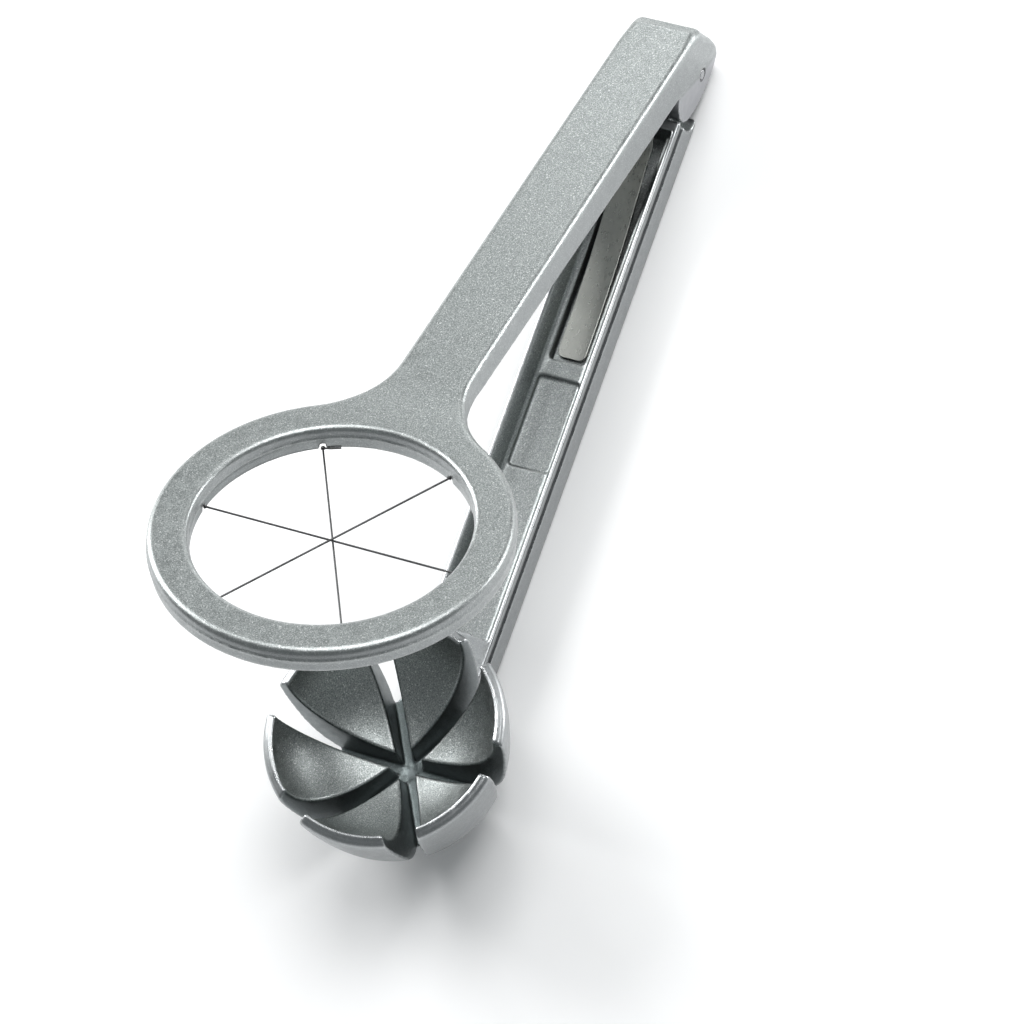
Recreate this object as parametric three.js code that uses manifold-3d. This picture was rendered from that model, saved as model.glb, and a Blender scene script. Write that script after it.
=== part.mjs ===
// Hand-held egg wedger: two cast aluminium arms on a hinge pin, a wired cutting ring on the
// upper arm, a slotted six-petal egg cup on the lower arm, and a flat spring that opens them.
import * as THREE from 'three';
import { mergeVertices } from 'three/addons/utils/BufferGeometryUtils.js';
import Module from 'manifold-3d';

const wasm = await Module();
wasm.setup();

// ---- Driving dimensions, millimetres and degrees ----
// Both arms are drawn shut, on a split plane z = 0. The foot of the cup's axis is x = y = 0,
// and the hinge lies towards -x. The finished group is then moved to stand on its own origin.
const SPLIT = 0.15; // each arm stops this far from the split plane
const OPEN_ANGLE = 29.65;

const PIN_X = -146.7;
const PIN_Z = -2.1;
const PIN_RADIUS = 1.0;
const PIN_HOLE_RADIUS = 1.05;
const PIN_LENGTH = 14.5;

const ARM_HALF_WIDTH = 7.4; // at the split plane
const ARM_DRAFT = 0.055; // half-width lost per millimetre away from the split plane
const ARM_DEPTH = 8.65; // lower arm, split plane to underside
const EDGE_RADIUS = 1.3;
const WALL = 2.0;

const TOP_AT_HINGE = 8.3; // upper arm's top face above the split plane, at the hinge pin
const TOP_AT_NECK = 5.15;
const NECK_X = -44;

const RING_X = 0.3;
const RING_INNER = 25;
const RING_OUTER = 32.4;
const RING_TOP = 5.0;
const NECK_FILLET = 19;

const WIRE_RADIUS = 0.2;
const WIRE_LEVELS = [0.36, 0.79, 1.22];
const WIRE_ANGLES = [30, 90, 150];
const WIRE_REACH = 27.4; // half-length of a wire, centre of the ring to its anchor
const NOTCH_WIDTH = 1.0;

const ANCHOR_AT = 28.4;
const ANCHOR_HEAD_RADIUS = 1.0;
const ANCHOR_SHANK_RADIUS = 0.55;
const ANCHOR_POCKET = 1.35;

const CUP_TILT = 5.5; // the cup leans towards the hinge, along the wires' arc
const CUP_RIM = 20;
const CUP_BOTTOM = -4.4;
const CUP_OUTSIDE = [ // radius and height, from the foot up to the rim
  [8.5, -4.3], [12.3, -3.3], [15.2, -1.8], [18.2, 1.2], [19.9, 4.5], [21.1, 8], [22.1, 12],
  [22.75, 16], [22.9, 18.4], [22.6, 19.4],
];
const CUP_INNER = 20.9;
const CUP_INNER_BOTTOM = 2.9;
const SLOT_FLOOR = -1.8;
const SLOT_HALF_AT_FLOOR = 1.0;
const SLOT_HALF_AT_RIM = 3.1;

const CHANNEL_HALF_TOP = 6.4;
const CHANNEL_HALF_FLOOR = 4.7;
const CHANNEL_FLOOR = -4.4;
const CHANNEL_END_RADIUS = 28.2; // about the cup's axis
const SPRING_POCKET = { from: -133.6, to: -85.2, half: 3.7, floor: -6.9 };
const PLAIN_POCKET = { from: -81.6, to: -62.9, half: 4.2, floor: -5.2 };

const SEAT_RADIUS = 11.15; // rear end of the lower arm, about the pin
const EAR_RADIUS = 10.8; // front of the upper arm's ears, about the pin
const EAR_INNER = 4.4; // half the gap between the ears
const LUG_HALF_WIDTH = 4.05;
const LUG_RADIUS = 4.0;

const SPRING_THICKNESS = 0.6;
const SPRING_WIDTH = 5.8;
const SPRING_BEND = 7.2;

const SEGMENTS = 64;

const rad = THREE.MathUtils.degToRad;
const ALONG_X = new THREE.Matrix4().makeBasis(
  new THREE.Vector3(0, 1, 0), new THREE.Vector3(0, 0, 1), new THREE.Vector3(1, 0, 0));
const ALONG_Y = new THREE.Matrix4().makeBasis(
  new THREE.Vector3(1, 0, 0), new THREE.Vector3(0, 0, 1), new THREE.Vector3(0, -1, 0));

// ---- Solids ----

function signedVolume(geometry) {
  const p = geometry.attributes.position;
  const index = geometry.index.array;
  const [a, b, c] = [new THREE.Vector3(), new THREE.Vector3(), new THREE.Vector3()];
  let volume = 0;
  for (let i = 0; i < index.length; i += 3) {
    a.fromBufferAttribute(p, index[i]);
    b.fromBufferAttribute(p, index[i + 1]);
    c.fromBufferAttribute(p, index[i + 2]);
    volume += a.dot(b.cross(c)) / 6;
  }
  return volume;
}

// A closed three.js geometry as a solid that can be joined and cut.
function solid(geometry) {
  geometry.deleteAttribute('normal');
  geometry.deleteAttribute('uv');
  const merged = mergeVertices(geometry, 1e-5);
  const index = Array.from(merged.index.array);
  if (signedVolume(merged) < 0) index.reverse();
  return new wasm.Manifold(new wasm.Mesh({
    numProp: 3,
    vertProperties: new Float32Array(merged.attributes.position.array),
    triVerts: new Uint32Array(index),
  }));
}

function join(...solids) {
  return solids.reduce((whole, next) => whole.add(next));
}

function cut(whole, ...tools) {
  return tools.reduce((rest, tool) => rest.subtract(tool), whole);
}

function mesh(name, body, material) {
  const { vertProperties, triVerts } = body.getMesh();
  const geometry = new THREE.BufferGeometry();
  geometry.setAttribute('position', new THREE.BufferAttribute(vertProperties, 3));
  geometry.setIndex(new THREE.BufferAttribute(triVerts, 1));
  const piece = new THREE.Mesh(geometry, material);
  piece.name = name;
  return piece;
}

function outline(points) {
  return new THREE.Shape(points.map(([u, v]) => new THREE.Vector2(u, v)));
}

function extruded(shape, depth, curveSegments = 16) {
  return new THREE.ExtrudeGeometry(shape, { depth, bevelEnabled: false, curveSegments });
}

// A (y, z) section, drawn out from x0 to x1.
function alongX(shape, x0, x1) {
  return solid(extruded(shape, x1 - x0).applyMatrix4(ALONG_X).translate(x0, 0, 0));
}

// An (x, z) side view, half as wide as it is drawn out: y from -half to half.
function acrossY(shape, half) {
  return solid(extruded(shape, 2 * half).applyMatrix4(ALONG_Y).translate(0, half, 0));
}

// An (x, y) plan, raised from z0 to z1.
function upZ(shape, z0, z1, curveSegments = 16) {
  return solid(extruded(shape, z1 - z0, curveSegments).translate(0, 0, z0));
}

// An (r, z) profile turned about z.
function turned(points, segments = SEGMENTS) {
  const profile = points.map(([r, z]) => new THREE.Vector2(r, z));
  return solid(new THREE.LatheGeometry(profile, segments).rotateX(Math.PI / 2));
}

function block(x0, x1, y0, y1, z0, z1) {
  const box = new THREE.BoxGeometry(x1 - x0, y1 - y0, z1 - z0);
  return solid(box.translate((x0 + x1) / 2, (y0 + y1) / 2, (z0 + z1) / 2));
}

function arc(cx, cy, radius, from, to, steps) {
  return Array.from({ length: steps + 1 }, (_, i) => {
    const angle = rad(from + (to - from) * i / steps);
    return [cx + radius * Math.cos(angle), cy + radius * Math.sin(angle)];
  });
}

// A pin lying along y through the hinge.
function hingeCylinder(radius, length, segments = 24) {
  const rod = new THREE.CylinderGeometry(radius, radius, length, segments);
  return solid(rod.translate(PIN_X, 0, PIN_Z));
}

// ---- Upper arm: handle, hinge ears, neck and cutting ring ----

const TOP_SLOPE = (TOP_AT_NECK - TOP_AT_HINGE) / (NECK_X - PIN_X);

function topAt(x) {
  return TOP_AT_HINGE + TOP_SLOPE * (x - PIN_X);
}

// Trapezium with rounded upper edges, hung under its top edge at v = 0.
function handleSection(halfTop, height, draft) {
  const halfFoot = halfTop + draft * height;
  return outline([
    [halfFoot, -height],
    ...arc(halfTop - EDGE_RADIUS, -EDGE_RADIUS, EDGE_RADIUS, 5, 90, 5),
    ...arc(EDGE_RADIUS - halfTop, -EDGE_RADIUS, EDGE_RADIUS, 90, 175, 5),
    [-halfFoot, -height],
  ]);
}

function slopedBar(section, x0, x1) {
  const slope = Math.atan(TOP_SLOPE);
  const bar = extruded(section, (x1 - x0) / Math.cos(slope)).applyMatrix4(ALONG_X);
  return solid(bar.rotateY(-slope).translate(x0, 0, topAt(x0)));
}

// Rear nose of the handle and the ear below it, seen from the side, around the pin.
function handleSideView() {
  const ear = arc(PIN_X, PIN_Z, EAR_RADIUS, 10, -20, 6);
  return outline([
    [-33, SPLIT],
    [-134.6, SPLIT],
    ...ear,
    [PIN_X + 9.3, PIN_Z - 4.9],
    [PIN_X + 7.6, PIN_Z - 5.9],
    [PIN_X + 5.6, PIN_Z - 6.4],
    [PIN_X + 3.4, PIN_Z - 6.45],
    [PIN_X + 0.8, PIN_Z - 6.0],
    [PIN_X - 1.8, PIN_Z - 5.0],
    [PIN_X - 4.6, PIN_Z - 3.1],
    [PIN_X - 7.2, PIN_Z - 0.4],
    [PIN_X - 7.1, PIN_Z + 1.2],
    [PIN_X - 5.2, PIN_Z + 5.1],
    [PIN_X - 2.4, topAt(PIN_X) - 1.9],
    [PIN_X - 1.7, topAt(PIN_X) - 0.7],
    [PIN_X - 0.5, topAt(PIN_X)],
    [PIN_X, topAt(PIN_X) + 1],
    [-33, topAt(PIN_X) + 1],
  ]);
}

function handleSolid() {
  const height = topAt(PIN_X) + 12;
  const bar = slopedBar(handleSection(6.95, height, ARM_DRAFT), -158, -38);
  const squared = block(-160, -30, -ARM_HALF_WIDTH, ARM_HALF_WIDTH, -12, 12);
  return bar.intersect(squared).intersect(acrossY(handleSideView(), 9));
}

// Plan of the neck: the handle's two edges flare out on arcs that meet the ring.
function neckPlan() {
  const drop = ARM_HALF_WIDTH + NECK_FILLET;
  const reach = RING_OUTER - 0.5 + NECK_FILLET;
  const startX = RING_X - Math.sqrt(reach ** 2 - drop ** 2);
  const sweep = THREE.MathUtils.radToDeg(Math.atan2(drop, RING_X - startX));
  const flare = arc(startX, drop, NECK_FILLET, -90, -sweep, 9);
  const mirrored = flare.map(([x, y]) => [x, -y]).reverse();
  return outline([[NECK_X - 6, ARM_HALF_WIDTH - 1.5], ...flare.slice(1), [RING_X - 20, 18],
    [RING_X - 20, -18], ...mirrored.slice(0, -1), [NECK_X - 6, 1.5 - ARM_HALF_WIDTH]]);
}

function neckSideView() {
  return outline([
    [NECK_X - 4, SPLIT],
    [-18, SPLIT],
    [-18, RING_TOP],
    [-30, RING_TOP],
    [-35, RING_TOP - 0.25],
    [-39, RING_TOP - 0.25],
    [NECK_X - 4, topAt(NECK_X - 4)],
  ]);
}

function neckSolid() {
  return upZ(neckPlan(), SPLIT, 8).intersect(acrossY(neckSideView(), 26));
}

function ringSolid() {
  const profile = [
    [RING_INNER, SPLIT],
    [RING_OUTER - 0.5, SPLIT],
    [RING_OUTER - 0.1, 0.9],
    [RING_OUTER, 1.3],
    [RING_OUTER - 0.35, RING_TOP - 1.5],
    [RING_OUTER - 0.8, RING_TOP - 0.55],
    [RING_OUTER - 1.8, RING_TOP],
    [RING_INNER + 1.1, RING_TOP],
    [RING_INNER + 0.4, RING_TOP - 0.35],
    [RING_INNER + 0.1, RING_TOP - 1.1],
    [RING_INNER, 2.4],
    [RING_INNER, SPLIT],
  ];
  return turned(profile, 96).translate([RING_X, 0, 0]);
}

function ringBore() {
  return upZ(new THREE.Shape().absarc(RING_X, 0, RING_INNER + 0.05, 0, 2 * Math.PI), -1, 9, 48);
}

// Channel under the handle, with a bar across it that stops the spring's upper tip.
function handleHollow() {
  const depth = topAt(PIN_X) + 12;
  const section = outline([[-5.2, -depth], [5.2, -depth], [4.7, 0], [-4.7, 0]]);
  const roof = slopedBar(section, -152, -46).translate([0, 0, -WALL]);
  const rear = outline([
    [PIN_X - 9, -12],
    [PIN_X - 9, PIN_Z - 2.4],
    [PIN_X - 4.6, PIN_Z - 2.4],
    [PIN_X - 5.2, PIN_Z - 0.2],
    [PIN_X - 0.2, PIN_Z + 7.6],
    [PIN_X + 1.4, 12],
    [-46, 12],
    [-46, -12],
  ]);
  const hollow = roof.intersect(acrossY(rear, 9));
  const gap = block(-152, -134.9, -EAR_INNER, EAR_INNER, -12, 12);
  const besideLug = hollow.intersect(gap);
  const ahead = hollow.intersect(block(-134.9, -46, -9, 9, -12, 12));
  const stop = block(-84.6, -82.4, -9, 9, 1.2, 12);
  return join(besideLug, cut(ahead, stop));
}

// Grooves across the ring's underside: each takes one end of a wire and its anchor.
function wireNotch(angle, level) {
  const groove = block(RING_INNER - 2, WIRE_REACH + 0.4, -NOTCH_WIDTH / 2, NOTCH_WIDTH / 2,
    -1, level + WIRE_RADIUS + 0.3);
  const pocket = turned([[0, -1], [ANCHOR_POCKET, -1], [ANCHOR_POCKET, 1.25], [0, 1.25]], 16);
  const hole = turned([[0, -1], [0.58, -1], [0.58, 3.6], [0, 3.6]], 12);
  const placed = join(groove, pocket.translate([ANCHOR_AT, 0, 0]),
    hole.translate([ANCHOR_AT, 0, 0]));
  return placed.rotate([0, 0, angle]).translate([RING_X, 0, 0]);
}

function wireEnds() {
  return WIRE_ANGLES.flatMap((angle, i) => [
    { angle, level: WIRE_LEVELS[i] },
    { angle: angle + 180, level: WIRE_LEVELS[i] },
  ]);
}

function upperArm() {
  const casting = cut(join(handleSolid(), neckSolid(), ringSolid()), ringBore());
  const notches = wireEnds().map(({ angle, level }) => wireNotch(angle, level));
  return cut(casting, handleHollow(), ...notches,
    hingeCylinder(PIN_HOLE_RADIUS, 20, 24));
}

// ---- Lower arm: channel, hinge lug and slotted cup ----

function lowerSection() {
  const foot = ARM_HALF_WIDTH - ARM_DRAFT * ARM_DEPTH;
  return outline([
    [foot - 0.3, -ARM_DEPTH],
    [foot + 0.1, 0.5 - ARM_DEPTH],
    [ARM_HALF_WIDTH, -1.35],
    [ARM_HALF_WIDTH - 0.4, -1.35],
    [ARM_HALF_WIDTH - 0.45, -SPLIT],
    [0.45 - ARM_HALF_WIDTH, -SPLIT],
    [0.4 - ARM_HALF_WIDTH, -1.35],
    [-ARM_HALF_WIDTH, -1.35],
    [-foot - 0.1, 0.5 - ARM_DEPTH],
    [0.3 - foot, -ARM_DEPTH],
  ]);
}

// The rear end is hollowed about the pin, so that the ears can turn in it.
function lowerSideView() {
  return outline([
    [PIN_X + 7.2, -ARM_DEPTH],
    [PIN_X + 7.8, PIN_Z - 6.2],
    [PIN_X + 9.6, PIN_Z - 5.15],
    ...arc(PIN_X, PIN_Z, SEAT_RADIUS, -20, 10, 6),
    [-18, 0],
    [-10, -4],
    [-17, -6.6],
    [-24, -8.1],
    [-31, -ARM_DEPTH],
  ]);
}

function channel() {
  const walls = outline([
    [-CHANNEL_HALF_FLOOR, CHANNEL_FLOOR],
    [CHANNEL_HALF_FLOOR, CHANNEL_FLOOR],
    [CHANNEL_HALF_TOP, 1],
    [-CHANNEL_HALF_TOP, 1],
  ]);
  const end = new THREE.Shape().absarc(0, 0, CHANNEL_END_RADIUS, 0, 2 * Math.PI);
  const trough = cut(alongX(walls, -133.6, -20), upZ(end, -12, 4, 32));
  const pockets = [SPRING_POCKET, PLAIN_POCKET].map(({ from, to, half, floor }) =>
    block(from, to, -half, half, floor, 0));
  return join(trough, ...pockets);
}

// Lug that stands between the ears. Its flat heel meets the handle's end wall when open.
function lug() {
  const side = outline([
    [-134, -ARM_DEPTH + 0.6],
    [-134, -0.6],
    [-136.4, -SPLIT],
    ...arc(PIN_X, PIN_Z, LUG_RADIUS, 62, 165, 8),
    [PIN_X - 3.9, PIN_Z - 2.2],
    ...arc(PIN_X, PIN_Z, LUG_RADIUS + 0.5, 212, 262, 4),
    [PIN_X + 2, PIN_Z - 5.4],
    [PIN_X + 6, PIN_Z - 5.95],
  ]);
  return acrossY(side, LUG_HALF_WIDTH);
}

function cupProfile() {
  const steps = 12;
  const outside = new THREE.SplineCurve(CUP_OUTSIDE.map(([r, z]) => new THREE.Vector2(r, z)))
    .getPoints(16).map((point) => [point.x, point.y]);
  const centre = CUP_RIM + 0.5;
  const inner = Array.from({ length: steps }, (_, i) => {
    const angle = rad(-4 - 86 * (i + 1) / steps);
    return [CUP_INNER * Math.cos(angle), centre + (centre - CUP_INNER_BOTTOM) * Math.sin(angle)];
  });
  inner[steps - 1][0] = 0;
  return [[0, CUP_BOTTOM], ...outside, [CUP_INNER + 1.1, CUP_RIM], [CUP_INNER + 0.3, CUP_RIM],
    [CUP_INNER, CUP_RIM - 0.5], ...inner];
}

// A slot right across the cup, wider towards the rim.
function cupSlot(angle) {
  const section = outline([
    [-SLOT_HALF_AT_FLOOR, SLOT_FLOOR],
    [SLOT_HALF_AT_FLOOR, SLOT_FLOOR],
    [SLOT_HALF_AT_RIM + 0.1, CUP_RIM + 1],
    [-SLOT_HALF_AT_RIM - 0.1, CUP_RIM + 1],
  ]);
  return alongX(section, -23.2, 23.2).rotate([0, 0, angle]);
}

function tilted(body) {
  return body.rotate([0, -CUP_TILT, 0]);
}

function lowerArm() {
  const bar = alongX(lowerSection(), -150, -8).intersect(acrossY(lowerSideView(), 9));
  const cup = tilted(turned(cupProfile(), 72));
  const cavity = tilted(turned([[0, CUP_INNER_BOTTOM + 1], [CUP_INNER - 6, CUP_RIM - 8],
    [CUP_INNER - 6, CUP_RIM + 4], [0, CUP_RIM + 4]], 24));
  const slots = WIRE_ANGLES.map((angle) => tilted(cupSlot(angle)));
  const arm = cut(join(cut(bar, cavity), lug(), cup), channel());
  return cut(arm, ...slots, hingeCylinder(PIN_HOLE_RADIUS, 20, 24));
}

// ---- Small pieces ----

// Flat strip bent into a V: one leg along the lower channel, the other under the handle.
function leafSpring() {
  const lowerLeg = new THREE.CatmullRomCurve3([
    new THREE.Vector3(-86.4, 0, -6.25),
    new THREE.Vector3(-98, 0, -5.95),
    new THREE.Vector3(-109, 0, -5.0),
    new THREE.Vector3(-119, 0, -3.3),
    new THREE.Vector3(-127.6, 0, -1.75),
  ]).getPoints(12).map((point) => [point.x, point.z]);
  const open = (x, z) => {
    const turn = rad(OPEN_ANGLE);
    const [dx, dz] = [x - PIN_X, z - PIN_Z];
    return [PIN_X + dx * Math.cos(turn) - dz * Math.sin(turn),
      PIN_Z + dx * Math.sin(turn) + dz * Math.cos(turn)];
  };
  const centre = [-127.6 + SPRING_BEND * 0.17, -1.75 + SPRING_BEND * 0.985];
  const bend = arc(centre[0], centre[1], SPRING_BEND, -106, -236, 12);
  const upperLeg = [open(-116, 3.5), open(-100, 3.7), open(-88, topAt(-88) - WALL - 0.75)];
  const middle = [...lowerLeg, ...bend, ...upperLeg];
  const half = SPRING_THICKNESS / 2;
  const sides = [half, -half].map((offset) => middle.map(([x, z], i) => {
    const [x0, z0] = middle[Math.max(i - 1, 0)];
    const [x1, z1] = middle[Math.min(i + 1, middle.length - 1)];
    const length = Math.hypot(x1 - x0, z1 - z0);
    return [x - offset * (z1 - z0) / length, z + offset * (x1 - x0) / length];
  }));
  return acrossY(outline([...sides[0], ...sides[1].reverse()]), SPRING_WIDTH / 2);
}

function wire(angle, level) {
  const rod = new THREE.CylinderGeometry(WIRE_RADIUS, WIRE_RADIUS, 2 * WIRE_REACH, 8);
  const lying = solid(rod.rotateZ(Math.PI / 2));
  return lying.rotate([0, 0, angle]).translate([RING_X, 0, level]);
}

// Pan-headed screw let into the ring's underside, beyond the end of a wire.
function wireAnchor() {
  return turned([[0, 0.2], [ANCHOR_HEAD_RADIUS - 0.3, 0.2], [ANCHOR_HEAD_RADIUS, 0.45],
    [ANCHOR_HEAD_RADIUS, 0.95], [ANCHOR_SHANK_RADIUS, 0.95], [ANCHOR_SHANK_RADIUS, 3.4],
    [0, 3.4]], 12);
}

// ---- Assembly ----

const castAluminium = new THREE.MeshStandardMaterial({
  color: 0x9ea3a3, roughness: 0.42, metalness: 0.9 });
const springSteel = new THREE.MeshStandardMaterial({
  color: 0x77756c, roughness: 0.3, metalness: 1 });
const wireSteel = new THREE.MeshStandardMaterial({
  color: 0x54504e, roughness: 0.35, metalness: 1 });
const brightSteel = new THREE.MeshStandardMaterial({
  color: 0xc4c6c8, roughness: 0.25, metalness: 1 });

const upper = new THREE.Group();
upper.add(mesh('upper_arm', upperArm(), castAluminium));
WIRE_ANGLES.forEach((angle, i) => {
  upper.add(mesh(`cutting_wire_${i + 1}`, wire(angle, WIRE_LEVELS[i]), wireSteel));
});
wireEnds().forEach(({ angle }, i) => {
  const anchor = mesh(`wire_anchor_${i + 1}`, wireAnchor(), brightSteel);
  anchor.position.set(RING_X + ANCHOR_AT * Math.cos(rad(angle)),
    ANCHOR_AT * Math.sin(rad(angle)), 0);
  upper.add(anchor);
});

// The upper arm swings up about the pin.
const hinge = new THREE.Group();
hinge.position.set(PIN_X, 0, PIN_Z);
hinge.rotation.y = -rad(OPEN_ANGLE);
upper.position.set(-PIN_X, 0, -PIN_Z);
hinge.add(upper);

const tool = new THREE.Group();
tool.add(mesh('lower_arm', lowerArm(), castAluminium));
tool.add(mesh('hinge_pin', hingeCylinder(PIN_RADIUS, PIN_LENGTH, 20), brightSteel));
tool.add(mesh('leaf_spring', leafSpring(), springSteel));
tool.add(hinge);

// The origin is the middle of the tool's footprint, on the surface that it lies on.
tool.updateMatrixWorld(true);
const box = new THREE.Box3().setFromObject(tool, true);
tool.position.set(-(box.min.x + box.max.x) / 2, -(box.min.y + box.max.y) / 2, -box.min.z);

const assembly = new THREE.Group();
assembly.add(tool);
export default assembly;
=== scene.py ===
"""Looks of the hand-held egg wedger: two die-cast aluminium arms, drawn as smooth implicit
solids in the closed pose of the CAD model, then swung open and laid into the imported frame."""
import math

import bmesh
import bpy
import numpy as np
from mathutils import Matrix, Vector


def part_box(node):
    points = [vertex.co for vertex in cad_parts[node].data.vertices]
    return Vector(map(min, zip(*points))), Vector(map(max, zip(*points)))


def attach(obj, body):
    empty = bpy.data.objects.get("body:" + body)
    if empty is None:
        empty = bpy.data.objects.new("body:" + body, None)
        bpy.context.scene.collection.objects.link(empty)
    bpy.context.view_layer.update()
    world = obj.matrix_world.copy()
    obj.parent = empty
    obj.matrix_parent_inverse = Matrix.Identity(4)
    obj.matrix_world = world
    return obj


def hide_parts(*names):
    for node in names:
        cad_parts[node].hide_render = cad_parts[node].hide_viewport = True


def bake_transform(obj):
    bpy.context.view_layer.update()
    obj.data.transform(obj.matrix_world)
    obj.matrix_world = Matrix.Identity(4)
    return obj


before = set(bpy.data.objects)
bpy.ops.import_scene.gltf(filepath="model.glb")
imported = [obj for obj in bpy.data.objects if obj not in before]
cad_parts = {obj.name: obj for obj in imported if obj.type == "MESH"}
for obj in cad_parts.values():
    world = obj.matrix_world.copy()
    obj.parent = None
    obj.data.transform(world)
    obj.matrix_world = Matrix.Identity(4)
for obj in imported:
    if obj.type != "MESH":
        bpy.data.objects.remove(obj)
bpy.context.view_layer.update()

MM = 0.001
OPEN_ANGLE = math.radians(29.65)
PIN_X, PIN_Z = -146.7, -2.1
PIN_RADIUS, PIN_HALF_LENGTH = 1.0, 7.25
PIN_HOLE_RADIUS = 1.05
HOLE_ROOM = 0.05  # the drawn hole is this much wider, so its rounded lip clears the pin
SPLIT = 0.15  # each arm stops this far from the plane where the two meet
ARM_DEPTH = 8.65
ARM_HALF_WIDTH = 7.4
ARM_DRAFT = 0.055
TOP_AT_HINGE, TOP_AT_NECK, NECK_X = 8.3, 5.15, -44.0
RING_X, RING_INNER, RING_OUTER, RING_TOP = 0.3, 25.0, 32.4, 5.0
RING_MIDDLE = 2.6
NECK_FILLET = 19.0
EAR_RADIUS, EAR_INNER = 10.8, 4.4  # front of the ears about the pin, and half the gap between them
SEAT_RADIUS = 11.15  # rear of the lower arm's channel walls, about the pin
LUG_RADIUS, LUG_HALF_WIDTH = 4.0, 4.05
WIRE_ANGLES = (30, 90, 150)
WIRE_LEVELS = (0.36, 0.79, 1.22)
WIRE_RADIUS, KNOT_RADIUS = 0.19, 0.12
ANCHOR_AT = 28.4  # from the ring's middle
CUP_TILT = math.radians(5.5)
CUP_RIM = 20.0
CUP_OUTSIDE = ((0, -4.4), (8.5, -4.3), (12.3, -3.3), (15.2, -1.8), (18.2, 1.2), (19.9, 4.5),
               (21.1, 8), (22.1, 12), (22.75, 16), (22.9, 18.4), (22.9, 20.4))
CUP_INNER, CUP_INNER_BOTTOM = 20.9, 2.9
CUP_INNER_TOP = CUP_RIM + 0.5  # where the inside is widest
SLOT_FLOOR, SLOT_HALF_AT_FLOOR, SLOT_HALF_AT_RIM = -1.8, 1.0, 3.1

# The CAD group's own origin, read back from where the imported pin lies.
pin_low, pin_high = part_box("hinge_pin")
OFFSET = np.array([(pin_low.x + pin_high.x) / 2 / MM - PIN_X, 0,
                   (pin_low.z + pin_high.z) / 2 / MM - PIN_Z])


# ---- Implicit solids: negative inside, in millimetres ----

def both(a, b, radius):
    """Where a and b overlap, its outer edges rounded."""
    return (np.minimum(-radius, np.maximum(a, b))
            + np.hypot(np.maximum(radius + a, 0), np.maximum(radius + b, 0)))


def either(a, b, radius):
    """a joined to b, with a fillet between them."""
    return -both(-a, -b, radius)


def without(a, b, radius):
    return both(a, -b, radius)


def polygon(u, v, points):
    """Distance to a closed outline in a plane."""
    best, inside = None, None
    for (au, av), (bu, bv) in zip(points, points[1:] + points[:1]):
        eu, ev = bu - au, bv - av
        wu, wv = u - au, v - av
        along = np.clip((wu * eu + wv * ev) / (eu * eu + ev * ev), 0, 1)
        square = (wu - eu * along) ** 2 + (wv - ev * along) ** 2
        best = square if best is None else np.minimum(best, square)
        if ev != 0:
            crosses = ((av <= v) != (bv <= v)) & (wu < eu * wv / ev)
            inside = crosses if inside is None else inside ^ crosses
    return np.where(inside, -1, 1) * np.sqrt(best)


def arc(cu, cv, radius, start, end, steps):
    return [(cu + radius * math.cos(math.radians(start + (end - start) * i / steps)),
             cv + radius * math.sin(math.radians(start + (end - start) * i / steps)))
            for i in range(steps + 1)]


def smooth(x, a, b):
    t = np.clip((x - a) / (b - a), 0, 1)
    return t * t * (3 - 2 * t)


def box(u, v, u0, u1, v0, v1, radius=0.0):
    """Distance to a rectangle with rounded corners."""
    du = np.abs(u - (u0 + u1) / 2) - (u1 - u0) / 2 + radius
    dv = np.abs(v - (v0 + v1) / 2) - (v1 - v0) / 2 + radius
    return np.hypot(np.maximum(du, 0), np.maximum(dv, 0)) + np.minimum(np.maximum(du, dv), 0) - radius


# ---- Upper arm ----

EDGE, REAR_EDGE = 1.15, 0.9  # rounding of the top's edges, and how much more there is at the rear
UNDERCUT = 0.07  # draft of the ring's edge below its middle
BORE_DRAFT = 0.05
FLASH_WIDTH, RING_FLASH, BORE_FLASH = 0.27, 0.16, 0.14  # the moulding line round the ring
DIP, DIP_X, DIP_LENGTH = 0.16, -37, 5.5  # slight hollow on top of the neck
UPPER_WALL = 2.0
HOLLOW_HALF, HOLLOW_DRAFT = 5.2, 0.03
HOLLOW_FROM, HOLLOW_TO = -134.9, -46
STOP_FROM, STOP_TO, STOP_FOOT = -84.6, -82.4, 1.2  # cross bar that the spring's end meets
EARS_FROM = -133.5  # the gap between the ears reaches forward to here
NOTCH_HALF, NOTCH_TOP, NOTCH_REACH = 0.55, 1.35, 28.2
WELL_RADIUS, WELL_TOP = 1.35, 1.25
PAST = 14  # well outside the arms, for the ends of cutting shapes

TOP_SLOPE = (TOP_AT_NECK - TOP_AT_HINGE) / (NECK_X - PIN_X)
FLARE_Y = ARM_HALF_WIDTH + NECK_FILLET
FLARE_X = RING_X - math.sqrt((RING_OUTER + NECK_FILLET) ** 2 - FLARE_Y ** 2)


def top_at(x):
    return TOP_AT_HINGE + TOP_SLOPE * (x - PIN_X)


# Rear of the upper arm from the side: under the handle, round the ears, up and over the nose.
NOSE = ([(-30, SPLIT), (-134.6, SPLIT)]
        + arc(PIN_X, PIN_Z, EAR_RADIUS, 10, -20, 8)
        + [(PIN_X + du, PIN_Z + dv) for du, dv in (
            (9.3, -4.9), (8.6, -5.6), (7.6, -6.1), (5.6, -6.5), (3.4, -6.55), (0.8, -6.0), (-1.8, -5.0),
            (-4.6, -3.1), (-7.2, -0.4), (-7.1, 1.2), (-5.2, 5.1), (-2.4, 8.5), (-1.7, 9.7), (-0.5, 10.4))]
        + [(PIN_X, 12), (-30, 12)])


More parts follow.
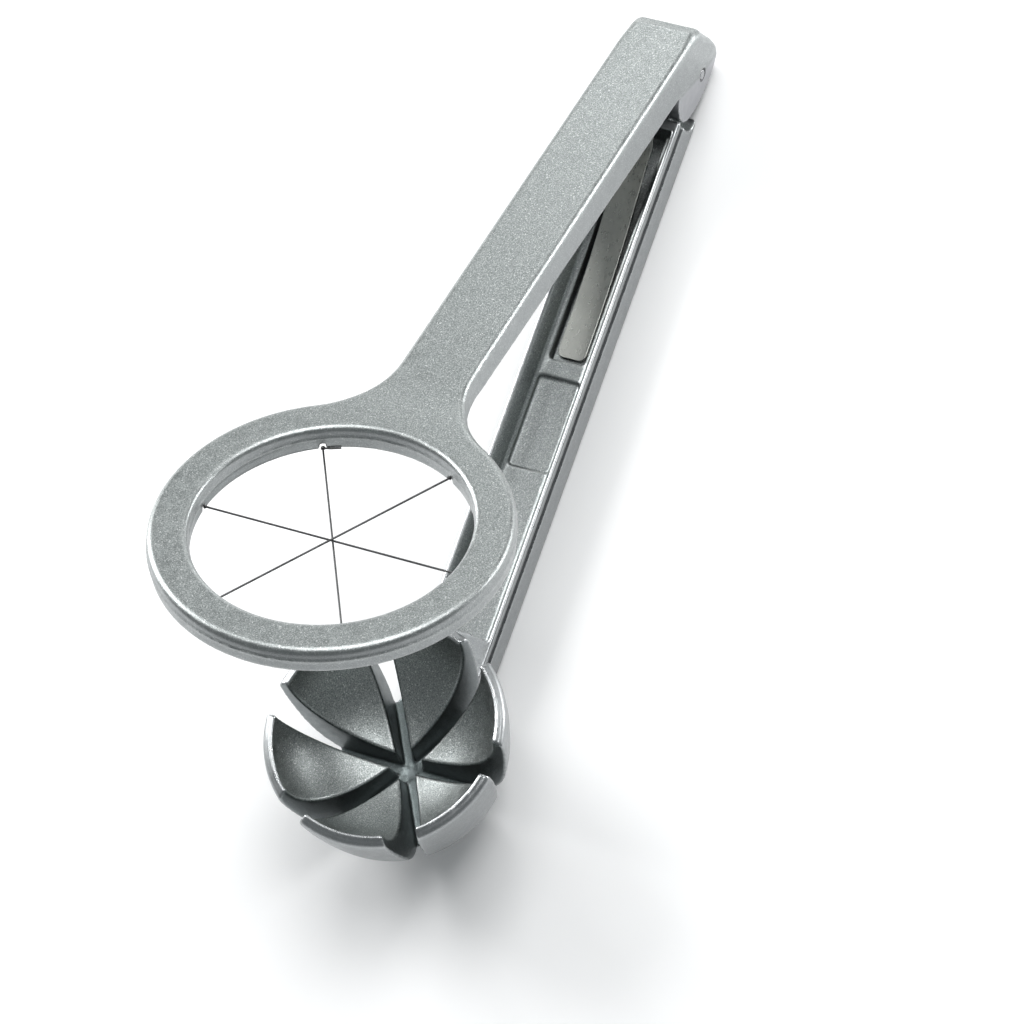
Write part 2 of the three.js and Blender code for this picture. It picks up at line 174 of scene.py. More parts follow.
def arm_plan(x, y):
    """Handle, neck and ring from above. The neck's sides are arcs that meet the ring."""
    ay = np.abs(y)
    ring = np.hypot(x - RING_X, ay) - RING_OUTER
    band = np.maximum(ay - ARM_HALF_WIDTH, x + 20)
    plain = np.minimum(ring, band)
    fu, fv = x - FLARE_X, FLARE_Y - ay
    across = (RING_X - FLARE_X) * fv - FLARE_Y * fu
    flare = NECK_FILLET - np.hypot(fu, fv)
    return np.where((fu > 0) & (across > 0) & (fv > 0), np.minimum(plain, flare), plain)


def upper_solid(x, y, z):
    on_ring = smooth(x, -52, -28)
    middle = SPLIT + (RING_MIDDLE - SPLIT) * on_ring
    plan = arm_plan(x, y)
    rise = z - middle
    side = plan + ARM_DRAFT * np.maximum(rise, 0) + UNDERCUT * np.maximum(-rise, 0)
    side = side - on_ring * RING_FLASH * np.exp(-(rise / FLASH_WIDTH) ** 2)
    dip = DIP * np.exp(-((x - DIP_X) / DIP_LENGTH) ** 2)
    level_off = smooth(x, -50, -29)
    top = z - (top_at(x) * (1 - level_off) + RING_TOP * level_off - dip)
    edge = EDGE + REAR_EDGE * smooth(-x, 139, 147)
    slab = both(side, top, edge)
    # the handle's rear nose and ears, drawn from the side
    nose = polygon(x, z, NOSE)
    body = both(slab, nose, 0.45 + 1.4 * smooth(z, 0.5, 5.0))
    ahead = x > -128
    body = np.where(ahead, both(slab, SPLIT - z, 0.3), body)
    # bore of the ring, drafted both ways from its middle
    rho = np.hypot(x - RING_X, y)
    bore = RING_INNER + BORE_DRAFT * np.abs(z - RING_MIDDLE) - rho
    bore = bore - BORE_FLASH * np.exp(-((z - RING_MIDDLE) / FLASH_WIDTH) ** 2)
    near_top = both(body, bore, 0.95)
    near_foot = both(body, bore, 0.3)
    lift = smooth(z, 1.6, 3.2)
    body = near_top * lift + near_foot * (1 - lift)
    # hollow under the handle, with its cross bar, and the gap between the ears
    roof = z - (top_at(x) - UPPER_WALL)
    hollow = both(np.abs(y) - (HOLLOW_HALF - HOLLOW_DRAFT * z), roof, 0.8)
    hollow = both(hollow, box(x, z, HOLLOW_FROM, HOLLOW_TO, -12, 12, 0.6), 0.5)
    stop = box(x, z, STOP_FROM, STOP_TO, STOP_FOOT, 20, 0.4)
    hollow = without(hollow, stop, 0.3)
    rear = polygon(x, z, [(PIN_X - 9, -PAST), (PIN_X - 9, PIN_Z - 2.4), (PIN_X - 4.6, PIN_Z - 2.4),
                          (PIN_X - 5.2, PIN_Z - 0.2), (PIN_X - 0.2, PIN_Z + 7.6), (PIN_X + 1.4, PAST),
                          (EARS_FROM, PAST), (EARS_FROM, -PAST)])
    between = both(both(np.abs(y) - EAR_INNER, roof, 0.4), rear, 0.4)
    body = without(body, np.minimum(hollow, between), 0.3)
    # notches for the wire ends, across the foot of the ring's inner wall
    for angle in WIRE_ANGLES:
        a = math.radians(angle)
        along = (x - RING_X) * math.cos(a) + y * math.sin(a)
        off = -(x - RING_X) * math.sin(a) + y * math.cos(a)
        notch = box(off, z, -NOTCH_HALF, NOTCH_HALF, -4, NOTCH_TOP, 0.3)
        notch = both(notch, np.abs(along) - NOTCH_REACH, 0.2)
        body = without(body, notch, 0.15)
        for sign in (1, -1):
            well = np.hypot(along - sign * ANCHOR_AT, off) - WELL_RADIUS
            body = without(body, both(well, z - WELL_TOP, 0.1), 0.1)
    # the pin's hole, which opens out towards the ears' outer faces
    from_pin = np.hypot(x - PIN_X, z - PIN_Z)
    pin_hole = from_pin - (PIN_HOLE_RADIUS + HOLE_ROOM)
    mouth = from_pin - (1.45 - 0.6 * np.clip(7.6 - np.abs(y), 0, 1))
    return without(without(body, pin_hole, 0.1), both(mouth, 6.6 - np.abs(y), 0.1), 0.1)


# ---- Lower arm ----

def cup_radius():
    """The cup's outside as a smooth radius about a centre on its axis, by angle from level."""
    centre = 12.0
    points = np.array(CUP_OUTSIDE, float)
    angle = np.arctan2(points[:, 1] - centre, points[:, 0])
    radius = np.hypot(points[:, 0], points[:, 1] - centre)
    return centre, np.polynomial.Polynomial.fit(angle, radius, 6)


CUP_CENTRE, CUP_POLAR = cup_radius()
CUP_POLAR_SLOPE = CUP_POLAR.deriv()

RABBET_Z, RABBET_HALF = -1.5, 6.95  # the rim's step, where the shut upper arm's edge is met
SHUT_LINE_Z, SHUT_LINE_HALF, SHUT_LINE_INNER = -1.95, 0.35, 6.75  # groove along the outer walls
CUP_BAND = 0.8  # width of the flat band round the cup's mouth
LOWER_FLOOR = -4.4
LOWER_HOLLOW_HALF, LOWER_HOLLOW_DRAFT = 6.15, 0.36
LOWER_HOLLOW_FROM, LOWER_HOLLOW_TO = -133.6, 28.2  # the second about the cup's axis
SPRING_POCKET = (LOWER_HOLLOW_FROM, -85.2, -3.7, 3.7)
SPRING_POCKET_FLOOR = -6.9
PLAIN_POCKET = (-81.6, -62.9, -4.2, 4.2)
PLAIN_POCKET_FLOOR = -5.2
SLOT_REACH = 23.4

# Lower arm and its hinge lug from the side.
LOWER_SIDE = ([(PIN_X + 6.6, -ARM_DEPTH), (PIN_X + 7.8, PIN_Z - 6.2), (PIN_X + 9.6, PIN_Z - 5.15)]
              + arc(PIN_X, PIN_Z, SEAT_RADIUS, -20, 10, 8)
              + [(-18, 1), (-10, -3), (-13.5, -5.4), (-17, -6.7), (-24, -8.2), (-31, -ARM_DEPTH)])
LUG_SIDE = ([(-133, -ARM_DEPTH + 0.6), (-133, -0.6), (-136.4, -SPLIT)]
            + arc(PIN_X, PIN_Z, LUG_RADIUS, 62, 165, 10)
            + [(PIN_X - 3.9, PIN_Z - 2.2)]
            + arc(PIN_X, PIN_Z, 4.5, 212, 262, 5)
            + [(PIN_X + 2, PIN_Z - 5.4), (PIN_X + 6, PIN_Z - 5.95)])


def on_cup_axis(x, z):
    """Level and height measured square to and along the cup's own, tilted axis."""
    c, s = math.cos(CUP_TILT), math.sin(CUP_TILT)
    return x * c + z * s, -x * s + z * c


def past_slot_wall(cx, y, cz, angle):
    """How far a point of the cup lies outside the walls of the slot at that angle."""
    t = math.radians(angle)
    off = np.abs(-cx * math.sin(t) + y * math.cos(t))
    spread = (SLOT_HALF_AT_RIM - SLOT_HALF_AT_FLOOR) / (CUP_RIM - SLOT_FLOOR)
    return off - (SLOT_HALF_AT_FLOOR + spread * (cz - SLOT_FLOOR))


def lower_solid(x, y, z):
    ay = np.abs(y)
    # bar with its rabbeted rim and the shut line below it
    wall = ay - (ARM_HALF_WIDTH + ARM_DRAFT * z)
    lip = either(z - RABBET_Z, ay - RABBET_HALF, 0.12)
    groove = box(ay, z, SHUT_LINE_INNER, 9.0, SHUT_LINE_Z - SHUT_LINE_HALF,
                 SHUT_LINE_Z + SHUT_LINE_HALF, 0.15)
    side = without(both(wall, lip, 0.3), groove, 0.12)
    bar = both(side, polygon(x, z, LOWER_SIDE), 0.45)
    bar = both(bar, z + SPLIT, 0.35)
    # cup, tilted towards the hinge
    cx, cz = on_cup_axis(x, z)
    rho = np.hypot(cx, y)
    level = np.arctan2(cz - CUP_CENTRE, rho)
    reach = np.hypot(cz - CUP_CENTRE, rho)
    level = np.clip(level, -math.pi / 2, 0.36)
    want = CUP_POLAR(level)
    slope = CUP_POLAR_SLOPE(level) / want
    outer = (reach - want) / np.sqrt(1 + slope ** 2)
    shoulder = both(outer, cz - (CUP_RIM - 0.3), 1.5)
    rim_lip = both(both(rho - (CUP_INNER + CUP_BAND), cz - CUP_RIM, 0.25), CUP_CENTRE - cz, 0.1)
    body = either(bar, either(shoulder, rim_lip, 0.08), 1.4)
    # inside of the cup
    a, b = CUP_INNER, CUP_INNER_TOP - CUP_INNER_BOTTOM
    dz = np.minimum(cz - CUP_INNER_TOP, 0)
    k0 = np.sqrt((rho / a) ** 2 + (dz / b) ** 2)
    k1 = np.sqrt((rho / a ** 2) ** 2 + (dz / b ** 2) ** 2) + 1e-9
    inner = k0 * (k0 - 1) / k1
    body = without(body, inner, 0.45)
    # hinge lug
    lug = both(polygon(x, z, LUG_SIDE), ay - LUG_HALF_WIDTH, 0.4)
    body = either(body, lug, 0.3)
    # hollow of the channel and its two pockets
    hollow = both(ay - (LOWER_HOLLOW_HALF + LOWER_HOLLOW_DRAFT * z), LOWER_FLOOR - z, 0.8)
    ends = np.maximum(LOWER_HOLLOW_FROM - x, LOWER_HOLLOW_TO - np.hypot(x, y))
    hollow = both(hollow, ends, 0.6)
    hollow = both(hollow, x + 20, 0.1)
    hollow = either(hollow, both(box(x, y, *SPRING_POCKET, 0.8), SPRING_POCKET_FLOOR - z, 0.4), 0.35)
    hollow = either(hollow, both(box(x, y, *PLAIN_POCKET, 0.8), PLAIN_POCKET_FLOOR - z, 0.35), 0.3)
    body = without(body, hollow, 0.35)
    # slots for the wires
    for angle in WIRE_ANGLES:
        slot = both(past_slot_wall(cx, y, cz, angle), SLOT_FLOOR - cz, 0.3)
        slot = both(slot, rho - SLOT_REACH, 0.2)
        body = without(body, slot, 0.4)
    pin_hole = np.hypot(x - PIN_X, z - PIN_Z) - (PIN_HOLE_RADIUS + HOLE_ROOM)
    return without(body, pin_hole, 0.1)


# ---- From implicit solid to mesh ----

def surface(solid, low, high, step):
    """Vertices and quads of the solid's surface: one vertex in each grid cell it crosses."""
    grid = [np.arange(a, b + step, step, dtype=np.float32) for a, b in zip(low, high)]
    shape = tuple(len(g) for g in grid)
    values = np.empty(shape, np.float32)
    slab = 40
    for i in range(0, shape[0], slab):
        values[i:i + slab] = solid(grid[0][i:i + slab, None, None], grid[1][None, :, None],
                                   grid[2][None, None, :])
    cells = tuple(n - 1 for n in shape)
    ids, places, quads = [], [], []
    for axis in range(3):
        u, v = [(1, 2), (2, 0), (0, 1)][axis]
        first = [slice(None)] * 3
        second = [slice(None)] * 3
        first[axis], second[axis] = slice(0, -1), slice(1, None)
        a, b = values[tuple(first)], values[tuple(second)]
        at = np.argwhere((a < 0) != (b < 0))
        at = at[(at[:, u] > 0) & (at[:, v] > 0) & (at[:, u] < cells[u]) & (at[:, v] < cells[v])]
        va, vb = a[tuple(at.T)], b[tuple(at.T)]
        place = at.astype(np.float64)
        place[:, axis] += va / (va - vb)
        ring = []
        for du, dv in ((-1, -1), (0, -1), (0, 0), (-1, 0)):
            cell = at.copy()
            cell[:, u] += du
            cell[:, v] += dv
            ring.append(np.ravel_multi_index(cell.T, cells))
            places.append(place)
        ids.extend(ring)
        quad = np.stack(ring, 1)
        quad[va > 0] = quad[va > 0][:, ::-1]
        quads.append(quad)
    flat = np.concatenate(ids)
    used, inverse = np.unique(flat, return_inverse=True)
    total = np.bincount(inverse)
    spots = np.concatenate(places)
    vertices = np.stack([np.bincount(inverse, spots[:, k]) / total for k in range(3)], 1)
    vertices = vertices * step + np.array([g[0] for g in grid])
    faces = np.searchsorted(used, np.concatenate(quads))
    return vertices, faces


def at_points(solid, points):
    return solid(points[:, 0], points[:, 1], points[:, 2])


def gradient(solid, points, reach=0.03):
    slopes = []
    for k in range(3):
        shift = np.zeros(3)
        shift[k] = reach
        slopes.append(at_points(solid, points + shift) - at_points(solid, points - shift))
    return np.stack(slopes, 1) / (2 * reach)


def neighbours_mean(points, faces):
    """For each vertex, the mean of the vertices that share an edge with it."""
    edges = np.concatenate([faces[:, [0, 1]], faces[:, [1, 2]], faces[:, [2, 3]], faces[:, [3, 0]]])
    count = np.bincount(edges.ravel(), minlength=len(points))[:, None]
    total = np.stack([np.bincount(edges[:, 0], points[edges[:, 1], k], len(points))
                      + np.bincount(edges[:, 1], points[edges[:, 0], k], len(points))
                      for k in range(3)], 1)
    return total / count


def settle(solid, vertices, faces, step, rounds):
    """Evens out the mesh along the surface, then brings each vertex onto the surface."""
    for turn in range(rounds):
        if turn < rounds - 1:
            vertices = vertices * 0.4 + 0.6 * neighbours_mean(vertices, faces)
        slope = gradient(solid, vertices)
        square = np.maximum((slope ** 2).sum(1), 0.2)
        move = -at_points(solid, vertices)[:, None] * slope / square[:, None]
        length = np.linalg.norm(move, axis=1)[:, None]
        vertices = vertices + move * np.minimum(1, 0.5 * step / np.maximum(length, 1e-9))
    return vertices


def swung(points):
    """From the closed pose to the open one."""
    c, s = math.cos(OPEN_ANGLE), math.sin(OPEN_ANGLE)
    x, z = points[:, 0] - PIN_X, points[:, 2] - PIN_Z
    return np.stack([PIN_X + x * c - z * s, points[:, 1], PIN_Z + x * s + z * c], 1)


def mesh_object(name, points, faces, opened):
    placed = (swung(points) if opened else points) + OFFSET
    data = bpy.data.meshes.new(name)
    data.from_pydata((placed * MM).tolist(), [], faces.tolist())
    data.polygons.foreach_set("use_smooth", [True] * len(data.polygons))
    data.update()
    thing = bpy.data.objects.new(name, data)
    bpy.context.scene.collection.objects.link(thing)
    return thing


def vertex_mask(thing, name, values):
    layer = thing.data.attributes.new(name, "FLOAT", "POINT")
    layer.data.foreach_set("value", np.asarray(values, np.float32))


# ---- Materials ----

def nodes_of(name):
    material = bpy.data.materials.new(name)
    material.use_nodes = True
    tree = material.node_tree
    return material, tree, tree.nodes["Principled BSDF"]


def add(tree, kind, **settings):
    node = tree.nodes.new(kind)
    for key, value in settings.items():
        if key in node.inputs:
            node.inputs[key].default_value = value
        else:
            setattr(node, key, value)
    return node


def noise(tree, place, size_mm, detail=2.0, roughness=0.5):
    node = add(tree, "ShaderNodeTexNoise", Scale=1 / (size_mm * MM), Detail=detail,
               Roughness=roughness)
    tree.links.new(place, node.inputs["Vector"])
    return node.outputs["Fac"]


def span(tree, value, low, high, out_low, out_high):
    node = add(tree, "ShaderNodeMapRange")
    node.inputs["From Min"].default_value = low
    node.inputs["From Max"].default_value = high
    node.inputs["To Min"].default_value = out_low
    node.inputs["To Max"].default_value = out_high
    tree.links.new(value, node.inputs["Value"])
    return node.outputs["Result"]


def maths(tree, operation, a, b):
    node = add(tree, "ShaderNodeMath", operation=operation)
    for socket, value in zip(node.inputs, (a, b)):
        if isinstance(value, (int, float)):
            socket.default_value = value
        else:
            tree.links.new(value, socket)
    return node.outputs["Value"]


def blend_colours(tree, factor, a, b):
    node = add(tree, "ShaderNodeMix", data_type="RGBA")
    tree.links.new(factor, node.inputs["Factor"])
    for socket, colour in ((node.inputs[6], a), (node.inputs[7], b)):
        if isinstance(colour, tuple):
            socket.default_value = (*colour, 1)
        else:
            tree.links.new(colour, socket)
    return node.outputs[2]


CLOUD_DARK, CLOUD_LIGHT = (0.26, 0.282, 0.278), (0.315, 0.335, 0.331)
SAND_DARK, SAND_LIGHT = (0.165, 0.183, 0.18), (0.42, 0.444, 0.438)
GLINT, SATIN, WORN = (0.86, 0.87, 0.87), (0.40, 0.406, 0.425), (0.56, 0.57, 0.57)
# painted shade for hollows, slots and the cup's hub; then a near-black for the dark ring round the pin,
# its nick, and painted shade in the lower arm's outer groove
PAINTED_RECESS_SHADE, SEAM_AND_GROOVE_SHADE = (0.11, 0.135, 0.137), (0.035, 0.037, 0.04)
FINE_MM, GLINT_MM, COARSE_MM, CLOUD_MM = 0.24, 0.26, 1.6, 11.0  # sizes of the four noises
SEAM_WIDTH = 0.13


def cast_metal():
    """Die-cast aluminium: sandy sparkle where the mask "grain" is 1, satin where it is 0."""
    material, tree, shader = nodes_of("cast_aluminium")
    place = add(tree, "ShaderNodeTexCoord").outputs["Object"]
    grain = add(tree, "ShaderNodeAttribute", attribute_name="grain").outputs["Fac"]
    edge = add(tree, "ShaderNodeAttribute", attribute_name="edge").outputs["Fac"]
    seam_and_groove_shade = add(tree, "ShaderNodeAttribute", attribute_name="seam_and_groove_shade").outputs["Fac"]
    painted_shade = add(tree, "ShaderNodeAttribute", attribute_name="painted_shade").outputs["Fac"]
    fine = noise(tree, place, FINE_MM, 2.0, 0.6)
    glint = noise(tree, place, GLINT_MM, 1.0, 0.5)
    coarse = noise(tree, place, COARSE_MM, 2.0, 0.5)
    cloud = noise(tree, place, CLOUD_MM, 3.0, 0.6)
    grey = blend_colours(tree, span(tree, cloud, 0.3, 0.7, 0, 1), CLOUD_DARK, CLOUD_LIGHT)
    sand = blend_colours(tree, span(tree, fine, 0.36, 0.66, 0, 1), SAND_DARK, SAND_LIGHT)
    speckled = blend_colours(tree, maths(tree, "MULTIPLY", grain, 0.75), grey, sand)
    sparkle = maths(tree, "MULTIPLY", span(tree, glint, 0.62, 0.71, 0, 0.6), grain)
    speckled = blend_colours(tree, sparkle, speckled, GLINT)
    skin = blend_colours(tree, grain, SATIN, speckled)
    worn = blend_colours(tree, maths(tree, "MULTIPLY", edge, 0.35), skin, WORN)
    # painted shade: the shade mask darkens the hollow under the handle, the slots and the hub
    shaded = blend_colours(tree, maths(tree, "MULTIPLY", painted_shade, 0.8), worn, PAINTED_RECESS_SHADE)
    # near-black line: a dark joint round the pin and a nick on the upper arm, and painted shade in the
    # lower arm's outer groove
    line = span(tree, seam_and_groove_shade, 0.0, SEAM_WIDTH, 0.8, 0.0)
    lined = blend_colours(tree, line, shaded, SEAM_AND_GROOVE_SHADE)
    tree.links.new(lined, shader.inputs["Base Color"])
    shader.inputs["Metallic"].default_value = 1.0
    rough = span(tree, coarse, 0.3, 0.7, 0.29, 0.40)
    rough = maths(tree, "ADD", rough, maths(tree, "MULTIPLY", grain, 0.06))
    rough = maths(tree, "SUBTRACT", rough, maths(tree, "MULTIPLY", edge, 0.10))
    tree.links.new(rough, shader.inputs["Roughness"])
    bump = add(tree, "ShaderNodeBump", Distance=0.05 * MM)
    height = maths(tree, "ADD", fine, maths(tree, "MULTIPLY", coarse, 0.6))
    tree.links.new(height, bump.inputs["Height"])
    strength = maths(tree, "ADD", maths(tree, "MULTIPLY", grain, 0.85), 0.07)
    tree.links.new(strength, bump.inputs["Strength"])
    tree.links.new(bump.outputs["Normal"], shader.inputs["Normal"])
    return material


def drawn_steel(name, dark, light, rough_low, rough_high, stretch=(1, 1, 1)):
    """Smooth rolled or drawn steel with faint lines along its length."""
    material, tree, shader = nodes_of(name)
    place = add(tree, "ShaderNodeTexCoord").outputs["Object"]
    scale = add(tree, "ShaderNodeVectorMath", operation="MULTIPLY")
    tree.links.new(place, scale.inputs[0])
    scale.inputs[1].default_value = stretch
    lines = noise(tree, scale.outputs["Vector"], 0.5, 3.0, 0.6)
    cloud = noise(tree, place, 6.0, 3.0, 0.6)
    mixed = maths(tree, "ADD", maths(tree, "MULTIPLY", lines, 0.5), maths(tree, "MULTIPLY", cloud, 0.5))
    colour = blend_colours(tree, span(tree, mixed, 0.35, 0.65, 0, 1), dark, light)
    tree.links.new(colour, shader.inputs["Base Color"])
    shader.inputs["Metallic"].default_value = 1.0
    tree.links.new(span(tree, lines, 0.3, 0.7, rough_low, rough_high), shader.inputs["Roughness"])
    bump = add(tree, "ShaderNodeBump", Strength=0.15, Distance=0.02 * MM)
    tree.links.new(lines, bump.inputs["Height"])
    tree.links.new(bump.outputs["Normal"], shader.inputs["Normal"])
    return material


def dress(thing, material):
    thing.data.materials.clear()
    thing.data.materials.append(material)
    return thing


CAST = cast_metal()
SPRING = drawn_steel("spring_steel", (0.33, 0.34, 0.318), (0.38, 0.385, 0.362), 0.26, 0.33,
                     (0.4, 1, 0.4))
WIRE = drawn_steel("wire_steel", (0.07, 0.07, 0.072), (0.12, 0.12, 0.122), 0.3, 0.45)
PIN = drawn_steel("pin_steel", (0.36, 0.37, 0.38), (0.48, 0.49, 0.50), 0.2, 0.32, (1, 0.1, 1))


# ---- The two castings ----

STEP = 0.36  # grid of the castings' meshes


def casting(name, solid, low, high, opened, masks_of, node, body):
    """A casting's mesh with its masks. The mask "edge" is 1 where the surface turns sharply."""
    vertices, faces = surface(solid, low, high, STEP)
    vertices = settle(solid, vertices, faces, STEP, 4)
    slope = gradient(solid, vertices)
    slope /= np.linalg.norm(slope, axis=1)[:, None]
    proud = ((vertices - neighbours_mean(vertices, faces)) * slope).sum(1) / STEP
    thing = mesh_object(name, vertices, faces, opened)
    for mask, values in masks_of(vertices, slope).items():
        vertex_mask(thing, mask, values)
    vertex_mask(thing, "edge", np.clip(proud * 5, 0, 1))
    dress(thing, CAST)
    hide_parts(node)
    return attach(thing, body)


NO_SEAM = 2.0  # far enough from any line


def upper_masks(points, slope):
    """grain: 1 sandy, 0 satin. The line mask: millimetres from a fine dark line. The shade mask: 1 where
    shade is painted into recesses.
    """
    x, y, z = points.T
    # the ears are sandy only above a slanted line through the pin
    below = smooth(PIN_Z + 0.1 + 0.19 * np.clip(x - PIN_X, 0, 12) - z, -0.1, 0.25)
    smooth_ear = below * (x < -131)
    sides = 1 - np.abs(slope[:, 2])
    grain = np.clip((1 - 0.35 * sides) * (1 - 0.95 * smooth_ear), 0, 1)
    # a dark ring round the pin, and a nick ahead of it that slants down
    round_pin = np.abs(np.hypot(x - PIN_X, z - PIN_Z) - 1.3) - 0.12
    nick_u, nick_v = x - PIN_X - 1.66, z - PIN_Z + 0.72
    slant_u, slant_v = 0.87, -0.49
    along = np.clip(nick_u * slant_u + nick_v * slant_v, -0.5, 0.5)
    nick = np.hypot(nick_u - along * slant_u, nick_v - along * slant_v) - 0.02
    seam_and_groove_shade = np.where(np.abs(y) > 6.6, np.minimum(round_pin, nick), NO_SEAM)
    # painted shade in the hollow under the handle
    inside = (x > HOLLOW_FROM + 0.4) & (x < HOLLOW_TO) & (np.abs(y) < 5.4) & (z < top_at(x) - 1.0)
    return {"grain": grain, "seam_and_groove_shade": np.minimum(seam_and_groove_shade, NO_SEAM), "painted_shade": np.where(inside, 0.5, 0.0)}


def lower_masks(points, slope):
    """The same three masks, for the lower arm."""
    x, y, z = points.T
    cx, cz = on_cup_axis(x, z)
    rho = np.hypot(cx, y)
    a, b = CUP_INNER, CUP_INNER_TOP - CUP_INNER_BOTTOM
    inner = np.sqrt((rho / a) ** 2 + (np.minimum(cz - CUP_INNER_TOP, 0) / b) ** 2) - 1
    in_cup = (np.abs(inner) < 0.02) & (rho < 21)
    hub = (rho < 15.5) & (np.abs(cz - SLOT_FLOOR) < 0.15)
    channel = (x < -27.5) & (np.abs(y) < 6.9) & (z > -8) & (z < -0.4)
    grain = np.where(in_cup | hub, 1.0, np.where(channel, 0.9, 0.55))
    # painted shade: the groove along the outer walls is painted near-black
    in_groove = (x < -22) & (np.abs(z - SHUT_LINE_Z) < SHUT_LINE_HALF + 0.05) & (np.abs(y) > 6.5)
    in_groove &= np.abs(y) < ARM_HALF_WIDTH + ARM_DRAFT * z - 0.12
    # painted shade in the slots, more on their faces that turn up, and at the cup's hub
    slots = np.zeros_like(x)
    facing_up = np.clip(slope[:, 2], 0, 1)
    for angle in WIRE_ANGLES:
        in_slot = (past_slot_wall(cx, y, cz, angle) < 0.12) & (cz > SLOT_FLOOR - 0.3) & (rho < 22.6)
        slots = np.maximum(slots, in_slot * (0.5 + 0.5 * facing_up))
    return {"grain": grain, "seam_and_groove_shade": np.where(in_groove, 0.0, NO_SEAM),
            "painted_shade": np.maximum(slots, 0.7 * hub)}


casting("upper_casting", upper_solid, (-156, -34, -10), (34, 34, 11), True, upper_masks,
        "upper_arm", "upper")
casting("lower_casting", lower_solid, (-153, -25, -10), (25, 25, 22.5), False, lower_masks,
        "lower_arm", "lower")


# ---- Small pieces ----

def rounded_path(points, samples):
    """A smooth curve through the points, evenly sampled between each two."""
    p = np.array(points, float)
    p = np.vstack([2 * p[0] - p[1], p, 2 * p[-1] - p[-2]])
    out = []
    for i in range(1, len(p) - 2):
        for t in np.linspace(0, 1, samples, endpoint=False):
            out.append(0.5 * (2 * p[i] + (p[i + 1] - p[i - 1]) * t
                              + (2 * p[i - 1] - 5 * p[i] + 4 * p[i + 1] - p[i + 2]) * t ** 2
                              + (3 * p[i] - p[i - 1] - 3 * p[i + 1] + p[i + 2]) * t ** 3))
    out.append(p[-2])
    return np.array(out)


def swept(path, section, across):
    """Sections, given as (across, above) pairs, carried along a path with closed, flat ends."""
    tangent = np.gradient(path, axis=0)
    tangent /= np.linalg.norm(tangent, axis=1)[:, None]
    side = np.zeros_like(path)
    for i, along in enumerate(tangent):
        across = across - along * np.dot(across, along)
        across = across / np.linalg.norm(across)
        side[i] = across
    lift = np.cross(side, tangent)
    section = np.array(section)
    points = (path[:, None] + section[None, :, :1] * side[:, None]
              + section[None, :, 1:] * lift[:, None]).reshape(-1, 3)
    n = len(section)
    faces = [(i * n + k, i * n + (k + 1) % n, (i + 1) * n + (k + 1) % n, (i + 1) * n + k)
             for i in range(len(path) - 1) for k in range(n)]
    ends = [tuple(range(n))[::-1], tuple((len(path) - 1) * n + k for k in range(n))]
    return points, faces + ends


def plain_mesh(name, points, faces, opened, crease):
    placed = (swung(np.asarray(points)) if opened else np.asarray(points)) + OFFSET
    data = bpy.data.meshes.new(name)
    data.from_pydata((placed * MM).tolist(), [], [tuple(f) for f in faces])
    builder = bmesh.new()
    builder.from_mesh(data)
    bmesh.ops.recalc_face_normals(builder, faces=builder.faces)
    builder.to_mesh(data)
    builder.free()
    data.polygons.foreach_set("use_smooth", [True] * len(data.polygons))
    data.set_sharp_from_angle(angle=math.radians(crease))
    thing = bpy.data.objects.new(name, data)
    bpy.context.scene.collection.objects.link(thing)
    return thing


def circle(radius, count):
    return [(radius * math.cos(2 * math.pi * k / count), radius * math.sin(2 * math.pi * k / count))
            for k in range(count)]


def on_ring(radius, degrees, z):
    a = math.radians(degrees)
    return (RING_X + radius * math.cos(a), radius * math.sin(a), z)


def wire_path(angle, level):
    """Across the ring and into a notch at each end; the first wire's tail lies along the bore."""
    near = [on_ring(25.6, angle - 0.4, level - 0.15), on_ring(25.1, angle - 0.2, level - 0.05),
            on_ring(24.4, angle, level)]
    across = [on_ring(r, angle, level) for r in (18, 9, 0, -9, -18)]
    far = [on_ring(24.4, angle + 180, level), on_ring(25.0, angle + 179.7, level - 0.1)]
    if angle == WIRE_ANGLES[0]:
        far += [on_ring(25.05, angle + 178.8, 0.30), on_ring(24.95, angle + 177, 0.26),
                on_ring(24.93, angle + 175, 0.26), on_ring(24.93, angle + 172.5, 0.26)]
    else:
        far += [on_ring(25.6, angle + 179.5, level - 0.15)]
    return rounded_path(near + across + far, 5)


COIL_RADIUS, COIL_PITCH, COIL_FROM = 0.28, 0.38, 24.75  # the last from the ring's middle


def knot_path(angle, level):
    """A turn and a half of wire round the main wire, where it meets the ring."""
    a = math.radians(angle)
    out = []
    for k in range(31):
        turn = 2 * math.pi * k / 20
        off, rise = COIL_RADIUS * math.cos(turn), COIL_RADIUS * math.sin(turn)
        r = COIL_FROM + COIL_PITCH * k / 20
        out.append((RING_X + r * math.cos(a) - off * math.sin(a),
                    r * math.sin(a) + off * math.cos(a), level + rise))
    return np.array(out)


upwards = np.array([0, 0, 1.0])
for i, (angle, level) in enumerate(zip(WIRE_ANGLES, WIRE_LEVELS), 1):
    parts = [swept(wire_path(angle, level), circle(WIRE_RADIUS, 10), upwards),
             swept(knot_path(angle, level), circle(KNOT_RADIUS, 8), upwards),
             swept(knot_path(angle + 180, level), circle(KNOT_RADIUS, 8), upwards)]
    points, faces = [], []
    for part_points, part_faces in parts:
        start = sum(len(p) for p in points)
        points.append(part_points)
        faces += [tuple(k + start for k in f) for f in part_faces]
    wire = dress(plain_mesh(f"strung_wire_{i}", np.concatenate(points), faces, True, 60), WIRE)
    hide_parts(f"cutting_wire_{i}")
    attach(wire, "upper")


